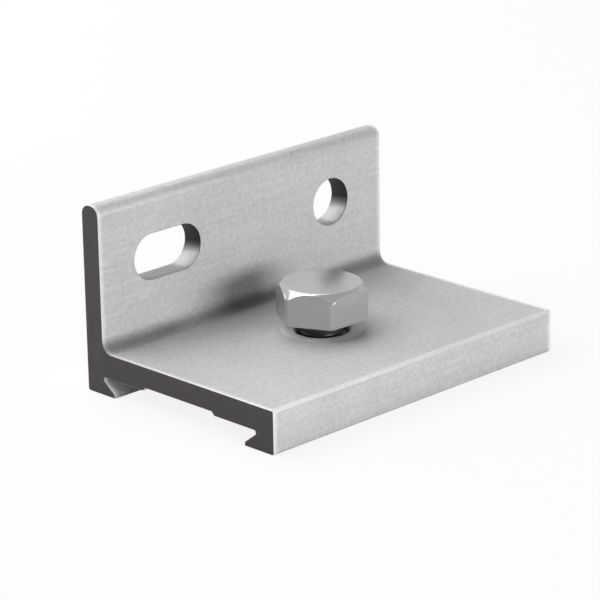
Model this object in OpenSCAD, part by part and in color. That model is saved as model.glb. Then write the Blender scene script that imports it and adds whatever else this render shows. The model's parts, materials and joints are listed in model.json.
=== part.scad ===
// Wall bracket for a track: one cut length of extruded section, and the hex bolt that clamps the track.
// Millimetres. X runs along the track, the wall is the plane Y = 0 with the bracket on its -Y side,
// and Z is up. The origin lies on the wall face at mid-length, on the line of the two wall fixings.

/* [Section] */
// Length of the cut piece along the track
length = 60; // [50:1:120]
// Depth from the wall to the front face of the lip
depth = 40; // [38:0.5:60]
// Height from the undersides of lip and hook to the top of the flange
height = 29.4; // [26:0.2:45]
// Thickness of the wall flange
wall_t = 3.6; // [2.5:0.1:5]
// Height of the plate's upper face above the undersides
plate_top = 6.8; // [5.5:0.1:9]
// Radius of both corners along the top of the flange
top_r = 1.6; // [0.4:0.1:2.5]
// Radius of the inner corner between flange and plate
fillet_r = 1.8; // [0.4:0.1:3]
// Radius of the section's other outer corners
edge_r = 0.4; // [0.1:0.1:0.8]

/* [Track channel] */
// Width of the mouth between the tips of lip and hook
mouth_w = 28; // [20:0.5:30]
// Height of the channel's roof above the undersides
channel_h = 2.9; // [2.4:0.1:4]
// Height of the blunt tips
tip_h = 0.65; // [0.4:0.05:1]
// Slope of the undercuts from the horizontal, in degrees
undercut_a = 37; // [32:1:60]
// Radius at the root of each undercut
root_r = 0.35; // [0.2:0.05:0.5]
// Width of the relief groove where it meets the roof
relief_w = 15.4; // [12:0.2:20]
// Depth of the relief groove, which has 45 degree sides
relief_d = 0.55; // [0.2:0.05:1]

/* [Wall fixings] */
// Height of both fixings above the undersides
fix_h = 19.4; // [15:0.1:21]
// Distance of the slot's centre from mid-length, towards -X
slot_x = 16.3; // [14:0.1:17]
// Length of the slot from end to end
slot_len = 13.5; // [9:0.1:20]
// Width of the slot
slot_w = 7.2; // [5:0.1:8.5]
// Distance of the round hole's centre from mid-length, towards +X
hole_x = 18.7; // [14:0.1:20]
// Diameter of the round hole
hole_d = 7.6; // [5:0.1:9]

/* [Clamp bolt] */
// Outer diameter of the thread
bolt_d = 8; // [5:0.5:10]
// Length below the head
bolt_len = 8; // [7:0.5:9]
// Gap between the head and the plate as the bolt stands
head_gap = 2; // [0.5:0.1:3]
// Width of the head across its flats
head_af = 12.8; // [12:0.1:17]
// Height of the head
head_k = 5.5; // [3.5:0.1:7]
// Amount rounded off each corner of the head
corner_cut = 0.2; // [0.05:0.05:0.4]
// Distance that the chamfer on top of the head reaches in from the flats
bevel_in = 0.25; // [0.1:0.05:1]
// Slope of that chamfer from the horizontal, in degrees
bevel_a = 50; // [25:1:60]
// Turn of the head about its own axis, in degrees
head_turn = -3; // [-30:1:30]
// Depth of the neck that is turned into the shank below the head
neck_c = 0.75; // [0.2:0.05:1]
// Length of that neck, down to its 45 degree end
neck_len = 2; // [0.5:0.1:3]
// Chamfer at the bolt's tip
tip_c = 0.9; // [0.4:0.1:1.2]
// Running clearance round the thread
thread_gap = 0.05; // [0.02:0.01:0.1]
// Chamfer at both ends of the bolt's hole
hole_c = 0.4; // [0.2:0.1:0.6]

/* [Hidden] */
$fn = 96;

// Overlap that keeps cuts and joined shapes clear of shared faces
lap = 0.5;
// Heights in the part's own frame: the undersides, and the plate's upper face
base_z = -fix_h;
plate_z = base_z + plate_top;
// The channel and the bolt share the plate's centre line
centre_y = -depth / 2;
// Channel: slope and roof would meet this far behind the tip, in a sharp corner that the root radius rounds
corner_x = mouth_w / 2 + (channel_h - tip_h) / tan(undercut_a);
root_back = root_r / tan(undercut_a / 2);
roof_z = channel_h + relief_d;
// Bolt: radius over the rounded corners, and of the flat on top
corner_rad = head_af / 2 / cos(30) - corner_cut;
flat_rad = head_af / 2 - bevel_in;
hole_rad = bolt_d / 2 + thread_gap;

// The scrap between a square corner at the origin and an arc of radius r, for a solid on the +x +y side
module corner_scrap(r) {
    difference() {
        translate([-lap, -lap]) square(r + lap);
        translate([r, r]) circle(r);
    }
}

// The fill of an inner corner at the origin, between a face along -x and a face along +y
module corner_fill(r) {
    difference() {
        translate([-r, -lap]) square([r + lap, r + lap]);
        translate([-r, r]) circle(r);
    }
}

// Outline of the track channel about its own centre line, with y = 0 at the undersides
module channel_outline() {
    half = mouth_w / 2;
    slope_end = [corner_x - root_back * cos(undercut_a), channel_h - root_back * sin(undercut_a)];
    roof_end = [corner_x - root_back, channel_h];
    side = [[half, -lap], [half, tip_h], slope_end, roof_end];
    polygon(concat(side, [for (i = [len(side) - 1:-1:0]) [-side[i].x, side[i].y]]));
    for (s = [-1, 1])
        translate([s * roof_end.x, channel_h - root_r]) circle(root_r);
    relief_half = relief_w / 2;
    polygon([[-relief_half, channel_h - root_r], [relief_half, channel_h - root_r], [relief_half, channel_h],
             [relief_half - relief_d, roof_z], [relief_d - relief_half, roof_z], [-relief_half, channel_h]]);
}

// The extruded section: x is the row's Y, and y is the height above the undersides
module section() {
    flange_r = min(top_r, wall_t / 2);
    difference() {
        union() {
            translate([-wall_t, 0]) square([wall_t, height]);
            translate([-depth, 0]) square([depth, plate_top]);
            translate([-wall_t, plate_top]) corner_fill(fillet_r);
        }
        translate([centre_y, 0]) channel_outline();
        translate([-wall_t, height]) rotate(-90) corner_scrap(flange_r);
        translate([0, height]) rotate(180) corner_scrap(flange_r);
        translate([-depth, plate_top]) rotate(-90) corner_scrap(edge_r);
        translate([-depth, 0]) corner_scrap(edge_r);
        rotate(90) corner_scrap(edge_r);
    }
}

// Outline of a slot with round ends, centred and lying along x
module slot_outline(span, w) {
    square([span - w, w], center = true);
    for (s = [-1, 1])
        translate([s * (span - w) / 2, 0]) circle(d = w);
}

// The two wall fixings, cut through the flange
module fixings() {
    rotate([90, 0, 0]) translate([0, 0, -lap]) linear_extrude(wall_t + 2 * lap) {
        translate([-slot_x, 0]) slot_outline(slot_len, slot_w);
        translate([hole_x, 0]) circle(d = hole_d);
    }
}

// The bolt's hole through the plate, chamfered at both ends, about the bolt's axis
module bolt_hole() {
    under_z = base_z + roof_z;
    rotate_extrude()
        polygon([[0, under_z - lap], [hole_rad + hole_c + lap, under_z - lap], [hole_rad, under_z + hole_c],
                 [hole_rad, plate_z - hole_c], [hole_rad + hole_c + lap, plate_z + lap], [0, plate_z + lap]]);
}

module bracket() {
    color([0.80, 0.80, 0.81])
        difference() {
            rotate([90, 0, 90]) translate([0, base_z, -length / 2]) linear_extrude(length) section();
            fixings();
            translate([0, centre_y, 0]) bolt_hole();
        }
}

// Hex head with rounded corners and a chamfered top, standing on z = 0
module hex_head() {
    drop = (corner_rad - flat_rad) * tan(bevel_a);
    intersection() {
        rotate(head_turn) cylinder(d = head_af / cos(30), h = head_k, $fn = 6);
        rotate_extrude()
            polygon([[0, 0], [corner_rad, 0], [corner_rad, head_k - drop], [flat_rad, head_k], [0, head_k]]);
    }
}

module clamp_bolt() {
    rad = bolt_d / 2;
    neck = [[rad - neck_c, lap], [rad - neck_c, -neck_len], [rad, -neck_len - neck_c]];
    tip = [[rad, tip_c - bolt_len], [rad - tip_c, -bolt_len]];
    color([0.70, 0.70, 0.71])
        translate([0, centre_y, plate_z + head_gap]) {
            hex_head();
            rotate_extrude() polygon(concat([[0, lap]], neck, tip, [[0, -bolt_len]]));
        }
}

bracket();
clamp_bolt();
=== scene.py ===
"""Track wall bracket: the finish of a cut length of aluminium section, its threaded clamp bolt, and a studio.

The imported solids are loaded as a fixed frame, in metres: X runs along the track, the wall is the plane Y = 0
with the bracket on its -Y side, and Z is up. The bracket keeps its solid, and gets eased edges and a mill
finish. The bolt is modelled again, with the thread that its plain solid leaves out.
"""

import json
import math

import bmesh
import bpy
import numpy as np
from bpy.props import FloatProperty, FloatVectorProperty, IntProperty, PointerProperty
from mathutils import Matrix, Vector


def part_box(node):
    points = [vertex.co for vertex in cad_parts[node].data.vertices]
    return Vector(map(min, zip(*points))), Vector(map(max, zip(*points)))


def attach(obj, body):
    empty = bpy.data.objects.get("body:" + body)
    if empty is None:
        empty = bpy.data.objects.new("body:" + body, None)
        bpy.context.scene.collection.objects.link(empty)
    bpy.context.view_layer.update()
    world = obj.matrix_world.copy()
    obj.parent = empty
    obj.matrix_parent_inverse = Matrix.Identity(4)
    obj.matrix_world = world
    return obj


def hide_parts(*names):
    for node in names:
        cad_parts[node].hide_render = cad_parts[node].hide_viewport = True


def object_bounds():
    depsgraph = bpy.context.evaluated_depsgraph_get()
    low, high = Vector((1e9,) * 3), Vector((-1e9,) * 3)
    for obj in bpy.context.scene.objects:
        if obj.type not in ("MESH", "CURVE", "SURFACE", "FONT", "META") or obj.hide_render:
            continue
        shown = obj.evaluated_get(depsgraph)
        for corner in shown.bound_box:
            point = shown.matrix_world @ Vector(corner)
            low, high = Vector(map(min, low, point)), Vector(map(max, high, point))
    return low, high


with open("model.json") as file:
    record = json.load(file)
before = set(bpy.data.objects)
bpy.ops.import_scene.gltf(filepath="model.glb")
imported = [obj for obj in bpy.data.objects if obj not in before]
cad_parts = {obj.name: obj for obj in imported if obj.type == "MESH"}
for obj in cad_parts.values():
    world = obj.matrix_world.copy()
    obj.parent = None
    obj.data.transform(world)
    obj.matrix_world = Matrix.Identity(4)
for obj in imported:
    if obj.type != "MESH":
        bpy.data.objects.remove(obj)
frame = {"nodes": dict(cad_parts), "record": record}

bl_info = {
    "name": "Track Wall Bracket",
    "version": (1, 0, 0),
    "blender": (4, 5, 0),
    "location": "View3D > Sidebar > Bracket",
    "description": "Finishes a wall bracket for a track, with its clamp bolt, and sets a studio round it",
    "category": "Object",
}

# Boxes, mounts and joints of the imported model, which the sizes below are worked out from
CAD_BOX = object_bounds()
BRACKET_LOW, BRACKET_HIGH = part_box("bracket")
BOLT_LOW, BOLT_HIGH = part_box("clamp_bolt")
BOLT_AXIS = (BOLT_LOW + BOLT_HIGH) / 2
MOUNTS = {mount["name"]: mount for mount in frame["record"]["mounts"]}
JOINTS = {joint["name"]: joint for joint in frame["record"]["behaviour"]["joints"]}
MM = 0.001
WHITE = (1.0, 1.0, 1.0, 1.0)

# Height of the bolt's head, its clearance where it comes down on the plate, and the two faces that meet in
# the bracket's inner corner: the front of the flange, and the top of the plate
HEAD_HEIGHT = 5.5 * MM
SEAT_CLEARANCE = 0.02 * MM
WALL_FACE = BRACKET_HIGH.y - MOUNTS["wall_hole"]["dims"]["length_mm"] * MM
PLATE_TOP = BOLT_HIGH.z - HEAD_HEIGHT + JOINTS["bolt_travel"]["range_m"][0]

# Number of the head's flats, and half the angle that each of them takes
FLATS = 6
HALF_FLAT = math.pi / FLATS

# A face counts as square to an axis from the second of these shares of its normal on, and not below the first
ASKEW, SQUARE = 0.80, 0.97


# Node graphs written as expressions

class Wire:
    """One output of a node, with operators that add the Math nodes of an expression on values."""

    def __init__(self, graph, socket):
        self.graph = graph
        self.socket = socket

    def __getitem__(self, name):
        return Wire(self.graph, self.socket.node.outputs[name])

    def math(self, operation, *terms):
        """Add a Math node that works on the given values and wires."""
        return self.graph.node("ShaderNodeMath", {"operation": operation}, dict(enumerate(terms)))

    def __add__(self, other):
        return self.math("ADD", self, other)

    def __radd__(self, other):
        return self.math("ADD", other, self)

    def __sub__(self, other):
        return self.math("SUBTRACT", self, other)

    def __rsub__(self, other):
        return self.math("SUBTRACT", other, self)

    def __mul__(self, other):
        return self.math("MULTIPLY", self, other)

    def __rmul__(self, other):
        return self.math("MULTIPLY", other, self)

    def __pow__(self, other):
        return self.math("POWER", self, other)

    def __abs__(self):
        return self.math("ABSOLUTE", self)

    def at_least(self, other):
        """The larger of two values."""
        return self.math("MAXIMUM", self, other)

    def between(self, first, second):
        """The first value where this mask is 0, the second where it is 1."""
        return first + self * (second - first)


class Graph:
    """A node tree that is filled from Python."""

    MIX_FACTOR, MIX_A, MIX_B, MIX_RESULT = 0, 6, 7, 2

    def __init__(self, tree):
        self.tree = tree
        tree.nodes.clear()

    def node(self, kind, settings=None, inputs=None, output=0):
        """Add a node, apply its settings, then set or link its sockets, and return one of its outputs."""
        node = self.tree.nodes.new(kind)
        for name, value in (settings or {}).items():
            setattr(node, name, value)
        for name, value in (inputs or {}).items():
            if isinstance(value, Wire):
                self.tree.links.new(value.socket, node.inputs[name])
            else:
                node.inputs[name].default_value = value
        return Wire(self, node.outputs[output]) if node.outputs else None

    def mix(self, factor, first, second, blend="MIX"):
        """Blend two colours, or a colour and a wire that carries one."""
        settings = {"data_type": "RGBA", "blend_type": blend}
        inputs = {self.MIX_FACTOR: factor, self.MIX_A: first, self.MIX_B: second}
        return self.node("ShaderNodeMix", settings, inputs, self.MIX_RESULT)

    def toned(self, color, tone):
        """A colour made lighter or darker by a tone about 1."""
        return self.mix(1.0, color, tone, "MULTIPLY")

    def rise(self, value, low, high):
        """A smooth step from 0 at low to 1 at high, also where low is the larger."""
        inputs = {"Value": value, "From Min": low, "From Max": high}
        return self.node("ShaderNodeMapRange", {"interpolation_type": "SMOOTHSTEP"}, inputs)

    def axes(self, vector):
        """The parts of a vector, by the names of their axes."""
        return self.node("ShaderNodeSeparateXYZ", None, {0: vector})

    def noise(self, spot, sizes, detail=2.0, distortion=0.0):
        """Fractal noise about 0, whose marks have the given mean sizes along the three axes."""
        scale = tuple(1.0 / size for size in sizes)
        stretched = self.node("ShaderNodeVectorMath", {"operation": "MULTIPLY"}, {0: spot, 1: scale})
        inputs = {"Vector": stretched, "Scale": 1.0, "Detail": detail, "Distortion": distortion}
        return self.node("ShaderNodeTexNoise", None, inputs) - 0.5


def opaque(color):
    """A colour with full alpha, as node sockets take it."""
    return (*color, 1.0)


def new_material(name):
    """An empty node material and its graph."""
    material = bpy.data.materials.new(name)
    material.use_nodes = True
    return material, Graph(material.node_tree)


# Settings that a user would change

class SectionFinish(bpy.types.PropertyGroup):
    """Finish of the extruded section and of its sawn and drilled surfaces."""

    edge_ease: FloatProperty(
        name="Edge Ease", description="Width of the small bevel along every sharp edge",
        default=0.12 * MM, subtype="DISTANCE", unit="LENGTH")
    ease_steps: IntProperty(
        name="Ease Steps", description="Number of faces across each eased edge", default=3, min=1)
    ease_angle: FloatProperty(
        name="Ease Angle", description="Edges that turn by more than this are eased",
        default=math.radians(38.0), subtype="ANGLE", unit="ROTATION")
    skin_color: FloatVectorProperty(
        name="Skin Color", description="Colour of the extruded skin",
        default=(0.66, 0.66, 0.662), subtype="COLOR", min=0.0, max=1.0)
    skin_metal: FloatProperty(
        name="Skin Metal", description="Share of mirror-like reflection in the extruded skin",
        default=0.26, subtype="FACTOR", min=0.0, max=1.0)
    skin_roughness: FloatProperty(
        name="Skin Roughness", description="Roughness of the extruded skin",
        default=0.58, subtype="FACTOR", min=0.0, max=1.0)
    # Darker sawn finish and painted shade: the sawn ends are coloured far darker than bare aluminium, as if in
    # shade
    cut_color_and_shade: FloatVectorProperty(
        name="Cut Color", description="Colour of the sawn ends",
        default=(0.075, 0.065, 0.068), subtype="COLOR", min=0.0, max=1.0)
    cut_metal: FloatProperty(
        name="Cut Metal", description="Share of mirror-like reflection on the sawn ends",
        default=0.1, subtype="FACTOR", min=0.0, max=1.0)
    cut_roughness: FloatProperty(
        name="Cut Roughness", description="Roughness of the sawn ends",
        default=0.6, subtype="FACTOR", min=0.0, max=1.0)
    # Painted light and shade in the fixings: walls that face up take the pale colour below, the others the
    # near-black shade after it
    drill_lit_color: FloatVectorProperty(
        name="Drill Color", description="Colour of the lower walls of the fixings, which screws rub bright",
        default=(0.40, 0.40, 0.40), subtype="COLOR", min=0.0, max=1.0)
    drill_shade: FloatVectorProperty(
        name="Drill Shade", description="Colour of the other walls of the fixings",
        default=(0.015, 0.013, 0.013), subtype="COLOR", min=0.0, max=1.0)
    drill_metal: FloatProperty(
        name="Drill Metal", description="Share of mirror-like reflection on the rubbed walls",
        default=0.4, subtype="FACTOR", min=0.0, max=1.0)
    drill_roughness: FloatProperty(
        name="Drill Roughness", description="Roughness of the rubbed walls",
        default=0.4, subtype="FACTOR", min=0.0, max=1.0)
    line_gap: FloatProperty(
        name="Line Gap", description="Mean distance between the fine lines that the die left along the track",
        default=0.35 * MM, subtype="DISTANCE", unit="LENGTH")
    line_run: FloatProperty(
        name="Line Run", description="Mean length of one die line",
        default=18.0 * MM, subtype="DISTANCE", unit="LENGTH")
    line_depth: FloatProperty(
        name="Line Depth", description="Strength of the die lines in the skin's tone",
        default=0.26, subtype="FACTOR", min=0.0, max=1.0)
    grain_size: FloatProperty(
        name="Grain Size", description="Size of the pale speckle in the mill finish",
        default=0.7 * MM, subtype="DISTANCE", unit="LENGTH")
    grain_depth: FloatProperty(
        name="Grain Depth", description="Strength of that speckle in the skin's tone",
        default=0.42, subtype="FACTOR", min=0.0, max=1.0)
    cloud_size: FloatProperty(
        name="Cloud Size", description="Size of the dull patches in the mill finish",
        default=8.3 * MM, subtype="DISTANCE", unit="LENGTH")
    cloud_depth: FloatProperty(
        name="Cloud Depth", description="Strength of those patches in the skin's tone",
        default=0.16, subtype="FACTOR", min=0.0, max=1.0)
    # Painted shade in the inner corner between flange and plate: the reach and the darkness of that darkening
    corner_reach: FloatProperty(
        name="Corner Reach", description="Reach of the dirt in the inner corner from flange and plate",
        default=2.6 * MM, subtype="DISTANCE", unit="LENGTH")
    corner_shade: FloatProperty(
        name="Corner Shade", description="Darkness of the dirt in the inner corner",
        default=0.6, subtype="FACTOR", min=0.0, max=1.0)
    # Painted highlight along the cut ends and the plate's front edge: its width and its brightness
    edge_highlight_reach: FloatProperty(
        name="Edge Highlight Reach", description="Width of the bright wear along the cut ends and the front edge",
        default=1.0 * MM, subtype="DISTANCE", unit="LENGTH")
    edge_highlight_shine: FloatProperty(
        name="Edge Highlight Shine", description="Added brightness of that wear",
        default=0.35, subtype="FACTOR", min=0.0, max=1.0)
    # Painted highlight: a pale round on the plate about the bolt's head, its radius and its brightness
    seat_highlight_radius: FloatProperty(
        name="Seat Ring", description="Radius of the round that the bolt's head rubbed bright on the plate",
        default=6.6 * MM, subtype="DISTANCE", unit="LENGTH")
    seat_highlight_shine: FloatProperty(
        name="Seat Shine", description="Added brightness of that round",
        default=0.5, subtype="FACTOR", min=0.0, max=1.0)
    saw_gap: FloatProperty(
        name="Saw Mark Gap", description="Mean distance between the marks that the saw left on the ends",
        default=0.5 * MM, subtype="DISTANCE", unit="LENGTH")
    saw_run: FloatProperty(
        name="Saw Mark Run", description="Mean length of one saw mark",
        default=8.3 * MM, subtype="DISTANCE", unit="LENGTH")
    saw_depth: FloatProperty(
        name="Saw Mark Depth", description="Strength of the saw marks in the tone of the ends",
        default=0.35, subtype="FACTOR", min=0.0, max=1.0)
    relief: FloatProperty(
        name="Relief", description="Height of the fine marks on every face",
        default=0.007 * MM, subtype="DISTANCE", unit="LENGTH")


class BoltForm(bpy.types.PropertyGroup):
    """Form and finish of the clamp bolt."""

    head_flats: FloatProperty(
        name="Head Across Flats", description="Width of the hex head across its flats",
        default=12.8 * MM, subtype="DISTANCE", unit="LENGTH")
    head_height: FloatProperty(
        name="Head Height", description="Height of the hex head, less its clearance over the plate",
        default=HEAD_HEIGHT - SEAT_CLEARANCE, subtype="DISTANCE", unit="LENGTH")
    head_turn: FloatProperty(
        name="Head Turn", description="Turn of the head about its own axis",
        default=math.radians(-3.0), subtype="ANGLE", unit="ROTATION")
    corner_cut: FloatProperty(
        name="Corner Cut", description="Amount rounded off each corner of the head",
        default=0.2 * MM, subtype="DISTANCE", unit="LENGTH")
    bevel_reach: FloatProperty(
        name="Chamfer Reach", description="Distance that the chamfer on top reaches in from the flats",
        default=0.25 * MM, subtype="DISTANCE", unit="LENGTH")
    bevel_slope: FloatProperty(
        name="Chamfer Slope", description="Slope of that chamfer from the horizontal",
        default=math.radians(50.0), subtype="ANGLE", unit="ROTATION")
    edge_ease: FloatProperty(
        name="Edge Ease", description="Distance from each of the head's edges at which it starts to round",
        default=0.14 * MM, subtype="DISTANCE", unit="LENGTH")
    shank_width: FloatProperty(
        name="Thread Diameter", description="Outer diameter of the thread",
        default=8.0 * MM, subtype="DISTANCE", unit="LENGTH")
    pitch: FloatProperty(
        name="Thread Pitch", description="Distance between two turns of the thread",
        default=1.25 * MM, subtype="DISTANCE", unit="LENGTH")
    neck_length: FloatProperty(
        name="Neck Length", description="Length of the neck that is turned into the shank below the head",
        default=2.0 * MM, subtype="DISTANCE", unit="LENGTH")
    neck_cut: FloatProperty(
        name="Neck Cut", description="Depth of that neck below the outside of the thread",
        default=0.75 * MM, subtype="DISTANCE", unit="LENGTH")
    neck_fillet: FloatProperty(
        name="Neck Fillet", description="Radius between the neck and the underside of the head",
        default=0.35 * MM, subtype="DISTANCE", unit="LENGTH")
    tip_bevel: FloatProperty(
        name="Tip Chamfer", description="Chamfer at the bolt's tip",
        default=0.9 * MM, subtype="DISTANCE", unit="LENGTH")
    plating_color: FloatVectorProperty(
        name="Plating Color", description="Colour of the bright zinc plating",
        default=(0.80, 0.80, 0.80), subtype="COLOR", min=0.0, max=1.0)
    plating_metal: FloatProperty(
        name="Plating Metal", description="Share of mirror-like reflection on top of the head",
        default=0.78, subtype="FACTOR", min=0.0, max=1.0)
    plating_roughness: FloatProperty(
        name="Plating Roughness", description="Roughness of the plating",
        default=0.18, subtype="FACTOR", min=0.0, max=1.0)
    # Painted shade: the head's sides are darker than its top
    side_shade: FloatProperty(
        name="Side Tone", description="Tone of the head's sides, which a spanner grips, against its top",
        default=0.58, subtype="FACTOR", min=0.0, max=1.0)
    side_metal: FloatProperty(
        name="Side Metal", description="Share of mirror-like reflection on the head's sides",
        default=0.3, subtype="FACTOR", min=0.0, max=1.0)
    # Painted shade: the neck and the thread under the head are darkened
    thread_shade_color: FloatVectorProperty(
        name="Thread Color", description="Colour of the oiled neck and thread",
        default=(0.10, 0.095, 0.09), subtype="COLOR", min=0.0, max=1.0)
    bloom_size: FloatProperty(
        name="Bloom Size", description="Size of the faint bloom on the plating",
        default=2.4 * MM, subtype="DISTANCE", unit="LENGTH")
    grain_size: FloatProperty(
        name="Grain Size", description="Size of the plating's grain",
        default=0.38 * MM, subtype="DISTANCE", unit="LENGTH")
    mark_gap: FloatProperty(
        name="Mark Gap", description="Mean distance between the fine handling marks",
        default=0.19 * MM, subtype="DISTANCE", unit="LENGTH")
    mark_run: FloatProperty(
        name="Mark Run", description="Mean length of one handling mark",
        default=1.1 * MM, subtype="DISTANCE", unit="LENGTH")
    relief: FloatProperty(
        name="Relief", description="Height of the grain and the marks",
        default=0.003 * MM, subtype="DISTANCE", unit="LENGTH")


class StudioSetup(bpy.types.PropertyGroup):
    """Floor, room, light and camera."""

    floor_color: FloatVectorProperty(
        name="Floor Color", description="Colour of the floor as the camera sees it",
        default=(0.92, 0.92, 0.92), subtype="COLOR", min=0.0, max=1.0)
    floor_glow: FloatProperty(
        name="Floor Glow", description="Share of plain white in the floor as the camera sees it",
        default=0.86, subtype="FACTOR", min=0.0, max=1.0)
    floor_bounce: FloatVectorProperty(
        name="Floor Bounce", description="Colour of the light that the floor throws back on the bracket",
        default=(0.70, 0.70, 0.70), subtype="COLOR", min=0.0, max=1.0)
    card_white: FloatProperty(
        name="Card White", description="Share of white in the card ahead of the bracket, as metal mirrors it",
        default=1.0, subtype="FACTOR", min=0.0, max=1.0)
    card_reach: FloatProperty(
        name="Card Reach", description="Reach of that card on the floor",
        default=18.0 * MM, subtype="DISTANCE", unit="LENGTH")
    room_light: FloatProperty(
        name="Room Light", description="Level of the light that comes from all round",
        default=0.16, min=0.0)
    room_mirror: FloatProperty(
        name="Room Mirror", description="Level of the room as metal mirrors it",
        default=0.45, subtype="FACTOR", min=0.0, max=1.0)
    room_low: FloatProperty(
        name="Room Low", description="Height at which the walls start to dim, as the sine of its angle",
        default=0.30, min=0.0, max=1.0)
    room_high: FloatProperty(
        name="Room High", description="Height at which the ceiling starts, as the sine of its angle",
        default=0.75, min=0.0, max=1.0)
    ceiling: FloatProperty(
        name="Ceiling", description="Level of the ceiling against the white walls",
        default=0.6, min=0.0, max=1.0)
    dim_side: FloatProperty(
        name="Dim Side", description="Level of the wall behind the camera against the other walls",
        default=0.05, subtype="FACTOR", min=0.0, max=1.0)
    key_light: FloatProperty(
        name="Key Light", description="Power of the wide low light ahead of the flange",
        default=1.42, min=0.0, unit="POWER")
    key_width: FloatProperty(
        name="Key Width", description="Width of the key light",
        default=0.30, subtype="DISTANCE", unit="LENGTH")
    key_height: FloatProperty(
        name="Key Height", description="Height of the key light",
        default=0.12, subtype="DISTANCE", unit="LENGTH")
    key_azimuth: FloatProperty(
        name="Key Azimuth", description="Direction of the key light about the vertical, from the front",
        default=math.radians(2.0), subtype="ANGLE", unit="ROTATION")
    key_elevation: FloatProperty(
        name="Key Elevation", description="Height of the key light above the floor, as an angle",
        default=math.radians(9.0), subtype="ANGLE", unit="ROTATION")
    top_light: FloatProperty(
        name="Top Light", description="Power of the wide soft light above and behind the flange",
        default=4.6, min=0.0, unit="POWER")
    top_width: FloatProperty(
        name="Top Width", description="Width of the top light",
        default=0.9, subtype="DISTANCE", unit="LENGTH")
    top_height: FloatProperty(
        name="Top Height", description="Height of the top light",
        default=0.7, subtype="DISTANCE", unit="LENGTH")
    top_azimuth: FloatProperty(
        name="Top Azimuth", description="Direction of the top light about the vertical, from the front",
        default=math.radians(202.0), subtype="ANGLE", unit="ROTATION")
    top_elevation: FloatProperty(
        name="Top Elevation", description="Height of the top light above the floor, as an angle",
        default=math.radians(48.0), subtype="ANGLE", unit="ROTATION")
    lamp_distance: FloatProperty(
        name="Lamp Distance", description="Distance of both lights from the middle of the bracket",
        default=0.5, subtype="DISTANCE", unit="LENGTH")
    lens: FloatProperty(
        name="Lens", description="Focal length of the camera, in millimetres on a 36 mm sensor",
        default=181.735, min=1.0, subtype="DISTANCE_CAMERA", unit="CAMERA")
    camera_azimuth: FloatProperty(
        name="Camera Azimuth", description="Direction of the camera about the vertical, from the front",
        default=math.radians(-44.529), subtype="ANGLE", unit="ROTATION")
    camera_elevation: FloatProperty(
        name="Camera Elevation", description="Height of the camera above its target, as an angle",
        default=math.radians(18.70), subtype="ANGLE", unit="ROTATION")
    camera_roll: FloatProperty(
        name="Camera Roll", description="Tilt of the picture",
        default=math.radians(-0.964), subtype="ANGLE", unit="ROTATION")
    camera_distance: FloatProperty(
        name="Camera Distance", description="Distance of the camera from its target",
        default=456.66 * MM, subtype="DISTANCE", unit="LENGTH")
    camera_target: FloatVectorProperty(
        name="Camera Target", description="Point that the camera looks at",
        default=(-4.608 * MM, -20.0 * MM, -6.883 * MM), subtype="XYZ", unit="LENGTH")


# The section

def sawn_mask(graph, place, facing):
    """1 on the two sawn ends."""
    margin = 0.1 * MM
    end = graph.rise(abs(place["X"]), BRACKET_HIGH.x - 4 * margin, BRACKET_HIGH.x - margin)
    return end * graph.rise(abs(facing["X"]), ASKEW, SQUARE)


def fixing_mask(graph, place, mount, radius, half_run):
    """1 within the outline of a fixing that lies along X, and a little beyond it."""
    margin = 0.05 * MM
    along = (abs(place["X"] - mount["pos_m"][0]) - half_run).at_least(0.0)
    across = place["Z"] - mount["pos_m"][2]
    distance = (along ** 2.0 + across ** 2.0) ** 0.5
    return graph.rise(distance, radius + 3 * margin, radius + margin)


def drilled_mask(graph, place, facing):
    """1 on the walls of the slot and of the round hole."""
    hole = MOUNTS["wall_hole"]
    slot = MOUNTS["wall_slot"]
    slot_radius = slot["dims"]["hole_r_mm"] * MM
    slot_run = slot["dims"]["slot_length_mm"] * MM / 2 - slot_radius
    round_hole = fixing_mask(graph, place, hole, hole["dims"]["r_mm"] * MM, 0.0)
    either = round_hole.at_least(fixing_mask(graph, place, slot, slot_radius, slot_run))
    return either * graph.rise(abs(facing["Y"]), SQUARE, ASKEW)


def corner_mask(graph, place, finish):
    """1 along the middle of the fillet between flange and plate, and 0 where the painted shade ends on both.
    """
    margin = 0.1 * MM
    full = 0.2 * finish.corner_reach
    from_wall = WALL_FACE - place["Y"]
    from_plate = place["Z"] - PLATE_TOP
    inside = graph.rise(from_wall, -3 * margin, -margin) * graph.rise(from_plate, -3 * margin, -margin)
    return inside * graph.rise(from_wall.at_least(from_plate), finish.corner_reach, full)


def edge_highlight_mask(graph, place, finish):
    """1 along the edges of both ends and along the plate's front edge, where a highlight is painted."""
    reach = finish.edge_highlight_reach
    full = 0.2 * reach
    ends = graph.rise(abs(place["X"]), BRACKET_HIGH.x - reach, BRACKET_HIGH.x - full)
    front = graph.rise(place["Y"], BRACKET_LOW.y + reach, BRACKET_LOW.y + full)
    upper = graph.rise(place["Z"], PLATE_TOP - reach / 2, PLATE_TOP - full)
    return ends.at_least(front * upper)


def seat_highlight_mask(graph, place, facing, finish):
    """1 on a round of the plate about the bolt's axis, where a highlight is painted."""
    edge = 0.6 * MM
    from_axis = ((place["X"] - BOLT_AXIS.x) ** 2.0 + (place["Y"] - BOLT_AXIS.y) ** 2.0) ** 0.5
    ring = graph.rise(from_axis, finish.seat_highlight_radius, finish.seat_highlight_radius - edge)
    return ring * graph.rise(facing["Z"], ASKEW, SQUARE)


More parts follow.
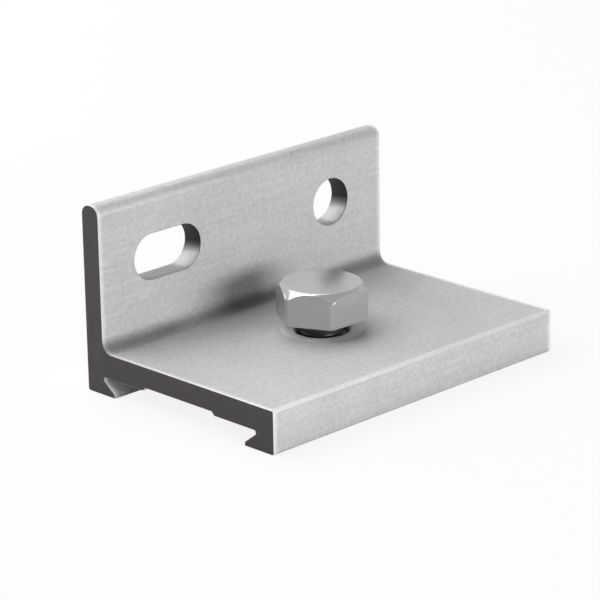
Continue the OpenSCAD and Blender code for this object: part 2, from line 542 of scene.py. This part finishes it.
def section_material(finish):
    """Satin mill finish with lines along the extrusion, duller on the sawn ends and in the fixings; painted
    shade darkens the sawn ends, the inner corner and the fixings' walls that do not face up, and painted light
    brightens the fixings' upward walls, the edges and a round about the bolt.
    """
    # Shares of the marks in the tone, roughness, metal and relief of the skin and of the bare cuts
    corner_shade_patches, corner_roughness, corner_dullness = 0.8, 0.3, 0.5
    line_roughness, cloud_roughness, saw_roughness = 0.10, 0.08, 0.12
    cut_speckle = 0.25
    line_relief, skin_relief, saw_relief, cut_relief = 0.7, 0.3, 1.4, 0.4
    lit_from = 0.6
    material, graph = new_material("aluminium_section")
    spot = graph.node("ShaderNodeTexCoord", output="Object")
    place = graph.axes(spot)
    facing = graph.axes(spot["Normal"])
    drilled = drilled_mask(graph, place, facing)
    # Painted light and shade: the fixings' walls that face up are pale, the others near black
    lit = drilled * graph.rise(facing["Z"], 0.0, lit_from)
    cut = drilled.at_least(sawn_mask(graph, place, facing))
    # Painted shade that darkens the inner corner
    corner = corner_mask(graph, place, finish)
    # Painted highlight along the edges of both ends and the plate's front edge
    edge_highlight = edge_highlight_mask(graph, place, finish)
    # Painted highlight on a round of the plate about the bolt
    seat = seat_highlight_mask(graph, place, facing, finish)

    lines = graph.noise(spot, (finish.line_run, finish.line_gap, finish.line_gap), detail=3.0)
    grain = graph.noise(spot, (finish.grain_size,) * 3, detail=3.0)
    cloud = graph.noise(spot, (finish.cloud_size,) * 3, distortion=0.6)
    saw = graph.noise(spot, (finish.saw_run, finish.saw_gap, finish.saw_run), distortion=0.4)

    mottle = lines * finish.line_depth + grain * finish.grain_depth + cloud * finish.cloud_depth
    tone_before_corner_shade = 1.0 + mottle + edge_highlight * finish.edge_highlight_shine + seat * finish.seat_highlight_shine
    # Painted shade in the inner corner darkens the skin's tone
    skin_tone = tone_before_corner_shade * (1 - corner * (1.0 + cloud * corner_shade_patches) * finish.corner_shade)
    skin = graph.toned(opaque(finish.skin_color), skin_tone)
    walls = graph.mix(lit, opaque(finish.drill_shade), opaque(finish.drill_lit_color))
    # The sawn ends take their dark colour, partly a duller sawn finish and partly painted shade
    bare = graph.mix(drilled, opaque(finish.cut_color_and_shade), walls)
    bare_tone = 1.0 + saw * finish.saw_depth + grain * cut_speckle
    color = graph.mix(cut, skin, graph.toned(bare, bare_tone))

    skin_shift = lines * line_roughness + cloud * cloud_roughness + corner * corner_roughness
    bare_roughness = lit.between(finish.cut_roughness, finish.drill_roughness) + saw * saw_roughness
    skin_metal = finish.skin_metal * (1 - corner * corner_dullness)
    bare_metal = lit.between(finish.cut_metal, finish.drill_metal)
    relief = cut.between(lines * line_relief + grain * skin_relief, saw * saw_relief + grain * cut_relief)
    bump = graph.node("ShaderNodeBump", None, {"Height": relief, "Strength": 1.0, "Distance": finish.relief})
    shader = graph.node("ShaderNodeBsdfPrincipled", None, {
        "Base Color": color, "Roughness": cut.between(finish.skin_roughness + skin_shift, bare_roughness),
        "Metallic": cut.between(skin_metal, bare_metal), "Normal": bump})
    graph.node("ShaderNodeOutputMaterial", None, {"Surface": shader})
    return material


def ease_edges(obj, finish):
    """Round every sharp edge of a solid a little, as a finished piece has it."""
    same_point, same_plane = 0.0005 * MM, math.radians(0.2)
    weld = obj.modifiers.new("join_faces", "WELD")
    weld.merge_threshold = same_point
    merge = obj.modifiers.new("merge_flat_faces", "DECIMATE")
    merge.decimate_type = "DISSOLVE"
    merge.angle_limit = same_plane
    ease = obj.modifiers.new("ease_edges", "BEVEL")
    ease.width = finish.edge_ease
    ease.segments = finish.ease_steps
    ease.limit_method = "ANGLE"
    ease.angle_limit = finish.ease_angle
    ease.harden_normals = True


class OBJECT_OT_finish_section(bpy.types.Operator):
    """Ease the edges of the bracket's section and give it its mill finish"""

    bl_idname = "object.finish_section"
    bl_label = "Finish Section"

    def execute(self, context):
        finish = context.scene.section_finish
        bracket = frame["nodes"]["bracket"]
        bracket.data.materials.clear()
        bracket.data.materials.append(section_material(finish))
        ease_edges(bracket, finish)
        return {"FINISHED"}


# The clamp bolt

def head_angles(flat, corner):
    """Directions round the head's outline: each flat in even steps, and each rounded corner in its own."""
    flat_steps, corner_steps = 12, 4
    flat_end = math.acos(flat / corner)
    one_flat = np.linspace(-flat_end, flat_end, flat_steps + 1)
    one_corner = np.linspace(flat_end, 2 * HALF_FLAT - flat_end, corner_steps + 1)[1:-1]
    one_side = np.concatenate([one_flat, one_corner])
    return np.concatenate([one_side + 2 * HALF_FLAT * side for side in range(FLATS)])


def head_reach(angles, flat, corner):
    """Distance of the head's outline from the axis, in directions counted from the middle of a flat."""
    from_flat = (angles + HALF_FLAT) % (2 * HALF_FLAT) - HALF_FLAT
    return np.minimum(flat / np.cos(from_flat), corner)


def eased_edge(radius, height, into, out, ease):
    """Three rows that round an edge of the head, as radii and heights, between directions along its faces."""
    first = (radius + into[0] * ease, height + into[1] * ease)
    last = (radius + out[0] * ease, height + out[1] * ease)
    middle = ((first[0] + 2 * radius + last[0]) / 4, (first[1] + 2 * height + last[1]) / 4)
    return [first, middle, last]


def head_rows(form, reach, top, seat):
    """Rows round the head from the rim of its top face to the rim of its seat."""
    run, fall = math.cos(form.bevel_slope), math.sin(form.bevel_slope)
    even = np.ones_like(reach)
    face = even * (form.head_flats / 2 - form.bevel_reach)
    rim = top - (reach - face) * math.tan(form.bevel_slope)
    edges = [
        (face, top * even, (-1, 0), (run, -fall)),
        (reach, rim, (-run, fall), (0, -1)),
        (reach, seat * even, (0, 1), (-1, 0)),
    ]
    return [row for edge in edges for row in eased_edge(*edge, form.edge_ease)]


def thread_depth(phase):
    """Share of the thread's depth that is cut away, over one turn: a narrow crest and a wider root."""
    crest, root = 0.125, 0.25
    flanks = 1.0 - crest - root
    from_crest = np.abs((phase % 1.0) - 0.5) * 2
    return np.clip((from_crest - crest) / flanks, 0.0, 1.0)


def shank_rows(form, angles, seat, tip):
    """Rows down the shank: a fillet, a plain neck, the thread, and a chamfer at the tip."""
    steps_per_turn, fillet_steps = 16, 4
    depth_in_pitches = 0.6134
    outer = form.shank_width / 2
    neck = outer - form.neck_cut
    fillet = form.neck_fillet
    even = np.ones_like(angles)
    rows = []
    for turn in np.linspace(0.0, math.pi / 2, fillet_steps, endpoint=False):
        radius = neck + fillet * (1 - math.sin(turn))
        height = seat - fillet * (1 - math.cos(turn))
        rows.append((radius * even, height * even))
    count = round((seat - fillet - tip) / form.pitch * steps_per_turn)
    for height in np.linspace(seat - fillet, tip, count + 1):
        start = np.clip((seat - height - form.neck_length) / form.neck_cut, 0.0, 1.0)
        cut = depth_in_pitches * form.pitch * thread_depth(height / form.pitch - angles / (2 * math.pi))
        radius = neck + (outer - cut - neck) * start
        tip_limit = outer - form.tip_bevel + (height - tip)
        rows.append((np.minimum(radius, tip_limit), height * even))
    return rows


def bolt_mesh(form):
    """One closed skin for the whole bolt, from rows of points about its axis."""
    top = BOLT_HIGH.z
    seat = top - form.head_height
    flat = form.head_flats / 2
    corner = flat / math.cos(HALF_FLAT) - form.corner_cut
    angles = head_angles(flat, corner)
    rows = head_rows(form, head_reach(angles, flat, corner), top, seat)
    rows += shank_rows(form, angles, seat, BOLT_LOW.z)
    turned = angles + form.head_turn + HALF_FLAT
    across, along = np.cos(turned), np.sin(turned)
    bm = bmesh.new()
    loops = []
    for radius, height in rows:
        points = np.stack([BOLT_AXIS.x + radius * across, BOLT_AXIS.y + radius * along, height], 1)
        loops.append([bm.verts.new(point) for point in points])
    bm.faces.new(loops[0])
    bm.faces.new(loops[-1][::-1])
    for upper, lower in zip(loops, loops[1:]):
        for i, vertex in enumerate(upper):
            bm.faces.new((upper[i - 1], lower[i - 1], lower[i], vertex))
    for face in bm.faces:
        face.smooth = True
    bmesh.ops.recalc_face_normals(bm, faces=bm.faces)
    mesh = bpy.data.meshes.new("clamp_bolt_body")
    bm.to_mesh(mesh)
    bm.free()
    return mesh


def plating_material(form):
    """Bright zinc plating with a faint bloom and fine handling marks, painted shade on the head's sides, and
    painted shade on the neck and the thread.
    """
    # Shares of the marks in the tone, roughness and relief, and the heights and slopes that bound the areas
    bloom_tone, grain_tone = 0.08, 0.06
    bloom_roughness, mark_roughness, shaded_roughness = 0.06, 0.03, 0.15
    grain_relief, mark_relief = 0.6, 0.4
    shade_start, shade_end = 0.05 * MM, -0.25 * MM
    side_slope, top_slope = 0.3, 0.8
    material, graph = new_material("plated_steel")
    spot = graph.node("ShaderNodeTexCoord", output="Object")
    facing = graph.axes(spot["Normal"])
    seat = BOLT_HIGH.z - form.head_height
    # Painted shade: the neck and the thread below the head are darkened
    shaded = graph.rise(graph.axes(spot)["Z"], seat + shade_start, seat + shade_end)
    top = graph.rise(facing["Z"], side_slope, top_slope)

    bloom = graph.noise(spot, (form.bloom_size,) * 3, detail=3.0, distortion=0.5)
    grain = graph.noise(spot, (form.grain_size,) * 3)
    marks = graph.noise(spot, (form.mark_run, form.mark_gap, form.mark_run), distortion=0.3)

    # Painted shade darkens the head's sides against its top
    tone = (1.0 + bloom * bloom_tone + grain * grain_tone) * top.between(form.side_shade, 1.0)
    metal = graph.mix(shaded, opaque(form.plating_color), opaque(form.thread_shade_color))
    shift = bloom * bloom_roughness + marks * mark_roughness + shaded * shaded_roughness
    relief = grain * grain_relief + marks * mark_relief
    bump = graph.node("ShaderNodeBump", None, {"Height": relief, "Strength": 1.0, "Distance": form.relief})
    shader = graph.node("ShaderNodeBsdfPrincipled", None, {
        "Base Color": graph.toned(metal, tone), "Roughness": form.plating_roughness + shift,
        "Metallic": top.between(form.side_metal, form.plating_metal), "Normal": bump})
    graph.node("ShaderNodeOutputMaterial", None, {"Surface": shader})
    return material


class OBJECT_OT_build_clamp_bolt(bpy.types.Operator):
    """Model the hex bolt with its thread in place of its plain solid"""

    bl_idname = "object.build_clamp_bolt"
    bl_label = "Build Clamp Bolt"

    def execute(self, context):
        form = context.scene.bolt_form
        bolt = bpy.data.objects.new("clamp_bolt_body", bolt_mesh(form))
        context.scene.collection.objects.link(bolt)
        bolt.data.materials.append(plating_material(form))
        largest_face_rules = 100
        even_shade = bolt.modifiers.new("flat_faces", "WEIGHTED_NORMAL")
        even_shade.weight = largest_face_rules
        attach(bolt, "bolt")
        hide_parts("clamp_bolt")
        return {"FINISHED"}


# The stage

def direction(azimuth, elevation):
    """Unit vector from the object towards a lamp or the camera; azimuth 0 is the front, at -Y."""
    level = math.cos(elevation)
    return Vector((math.sin(azimuth) * level, -math.cos(azimuth) * level, math.sin(elevation)))


def ray_kinds(graph):
    """Two masks: rays straight from the camera, and rays by way of metal or glass."""
    path = graph.node("ShaderNodeLightPath", output="Is Camera Ray")
    return path, path["Is Glossy Ray"].at_least(path["Is Transmission Ray"])


def card_mask(graph, studio):
    """1 on the part of the floor just ahead of the bracket, with a soft border."""
    reach = studio.card_reach
    border = reach / 2
    place = graph.axes(graph.node("ShaderNodeTexCoord", output="Object"))
    aside = abs(place["X"]) - BRACKET_HIGH.x
    ahead = BRACKET_LOW.y - place["Y"]
    return graph.rise(ahead, 0.0, border) * graph.rise(ahead.at_least(aside), reach + border, reach - border)


def floor_material(studio):
    """Pale with the bracket's shadow for the camera, with a white card for metal, and a softer bounce."""
    material, graph = new_material("floor")
    seen, mirrored = ray_kinds(graph)
    pale = graph.node("ShaderNodeBsdfDiffuse", None, {"Color": opaque(studio.floor_color)})
    bounce = graph.node("ShaderNodeBsdfDiffuse", None, {"Color": opaque(studio.floor_bounce)})
    white = graph.node("ShaderNodeEmission", None, {"Color": WHITE, "Strength": 1.0})
    card = mirrored * card_mask(graph, studio) * studio.card_white
    in_view = graph.node("ShaderNodeMixShader", None, {0: studio.floor_glow, 1: pale, 2: white})
    unseen = graph.node("ShaderNodeMixShader", None, {0: card, 1: bounce, 2: white})
    surface = graph.node("ShaderNodeMixShader", None, {0: seen, 1: unseen, 2: in_view})
    graph.node("ShaderNodeOutputMaterial", None, {"Surface": surface})
    return material


def build_floor(studio):
    """A wide floor a hair below the bracket, so that no face of theirs is shared."""
    half, gap = 4.0, 0.02 * MM
    bm = bmesh.new()
    corners = [(-half, -half), (half, -half), (half, half), (-half, half)]
    bm.faces.new([bm.verts.new((x, y, BRACKET_LOW.z - gap)) for x, y in corners])
    mesh = bpy.data.meshes.new("floor")
    bm.to_mesh(mesh)
    bm.free()
    mesh.materials.append(floor_material(studio))
    floor = bpy.data.objects.new("floor", mesh)
    bpy.context.scene.collection.objects.link(floor)


def build_room(studio):
    """White for the camera. Light and metal find white walls, dimmer overhead and on the camera's side."""
    dim_from, dim_to = 0.2, -0.6
    world = bpy.data.worlds.new("room")
    world.use_nodes = True
    graph = Graph(world.node_tree)
    view = graph.axes(graph.node("ShaderNodeTexCoord", output="Generated"))
    away = -direction(studio.camera_azimuth, 0.0)
    near_side = graph.rise(view["X"] * away.x + view["Y"] * away.y, dim_from, dim_to)
    walls = graph.mix(near_side, WHITE, opaque((studio.dim_side,) * 3))
    high = graph.rise(view["Z"], studio.room_low, studio.room_high)
    tone = graph.mix(high, walls, opaque((studio.ceiling,) * 3))
    seen, mirrored = ray_kinds(graph)
    soft = graph.node("ShaderNodeBackground", None, {"Color": tone, "Strength": studio.room_light})
    image = graph.node("ShaderNodeBackground", None, {"Color": tone, "Strength": studio.room_mirror})
    white = graph.node("ShaderNodeBackground", None, {"Color": WHITE, "Strength": 1.0})
    unseen = graph.node("ShaderNodeMixShader", None, {0: mirrored, 1: soft, 2: image})
    surface = graph.node("ShaderNodeMixShader", None, {0: seen, 1: unseen, 2: white})
    graph.node("ShaderNodeOutputWorld", None, {"Surface": surface})
    bpy.context.scene.world = world


def facing_back(towards):
    """Turn of a lamp or camera that stands in the given direction and looks back at the object."""
    return towards.to_track_quat("Z", "Y").to_matrix().to_4x4()


def add_lamp(name, power, width, height, towards, distance):
    """A soft light in a given direction that faces the middle of the bracket."""
    lamp = bpy.data.lights.new(name, "AREA")
    lamp.energy = power
    lamp.shape = "RECTANGLE"
    lamp.size = width
    lamp.size_y = height
    middle = (CAD_BOX[0] + CAD_BOX[1]) / 2
    obj = bpy.data.objects.new(name, lamp)
    obj.matrix_world = Matrix.Translation(middle + towards * distance) @ facing_back(towards)
    bpy.context.scene.collection.objects.link(obj)


def place_camera(studio):
    """The camera at the photograph's viewing angle."""
    nearest = 10.0 * MM
    camera = bpy.data.cameras.new("camera")
    camera.lens = studio.lens
    camera.clip_start = nearest
    back = direction(studio.camera_azimuth, studio.camera_elevation)
    place = Vector(studio.camera_target) + back * studio.camera_distance
    roll = Matrix.Rotation(studio.camera_roll, 4, "Z")
    obj = bpy.data.objects.new("camera", camera)
    obj.matrix_world = Matrix.Translation(place) @ facing_back(back) @ roll
    bpy.context.scene.collection.objects.link(obj)
    bpy.context.scene.camera = obj


class OBJECT_OT_build_studio(bpy.types.Operator):
    """Set the floor, the light and the camera round the bracket"""

    bl_idname = "object.build_studio"
    bl_label = "Build Studio"

    def execute(self, context):
        studio = context.scene.studio_setup
        context.scene.view_settings.view_transform = "Standard"
        build_floor(studio)
        build_room(studio)
        key = direction(studio.key_azimuth, studio.key_elevation)
        top = direction(studio.top_azimuth, studio.top_elevation)
        away = studio.lamp_distance
        add_lamp("key_light", studio.key_light, studio.key_width, studio.key_height, key, away)
        add_lamp("top_light", studio.top_light, studio.top_width, studio.top_height, top, away)
        place_camera(studio)
        return {"FINISHED"}


class VIEW3D_PT_track_wall_bracket(bpy.types.Panel):
    """The steps that finish the bracket, in order"""

    bl_label = "Track Wall Bracket"
    bl_space_type = "VIEW_3D"
    bl_region_type = "UI"
    bl_category = "Bracket"

    def draw(self, context):
        for operator in OPERATORS:
            self.layout.operator(operator.bl_idname)


OPERATORS = (OBJECT_OT_finish_section, OBJECT_OT_build_clamp_bolt, OBJECT_OT_build_studio)
SETTINGS = {"section_finish": SectionFinish, "bolt_form": BoltForm, "studio_setup": StudioSetup}
CLASSES = (*SETTINGS.values(), *OPERATORS, VIEW3D_PT_track_wall_bracket)


def register():
    """Add the classes and the scene's settings."""
    for cls in CLASSES:
        bpy.utils.register_class(cls)
    for name, group in SETTINGS.items():
        setattr(bpy.types.Scene, name, PointerProperty(type=group))


def unregister():
    """Take the settings and the classes away again."""
    for name in SETTINGS:
        delattr(bpy.types.Scene, name)
    for cls in reversed(CLASSES):
        bpy.utils.unregister_class(cls)


def main():
    """Register the add-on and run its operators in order."""
    register()
    bpy.ops.object.finish_section()
    bpy.ops.object.build_clamp_bolt()
    bpy.ops.object.build_studio()
    bpy.context.view_layer.update()


if __name__ == "__main__":
    main()
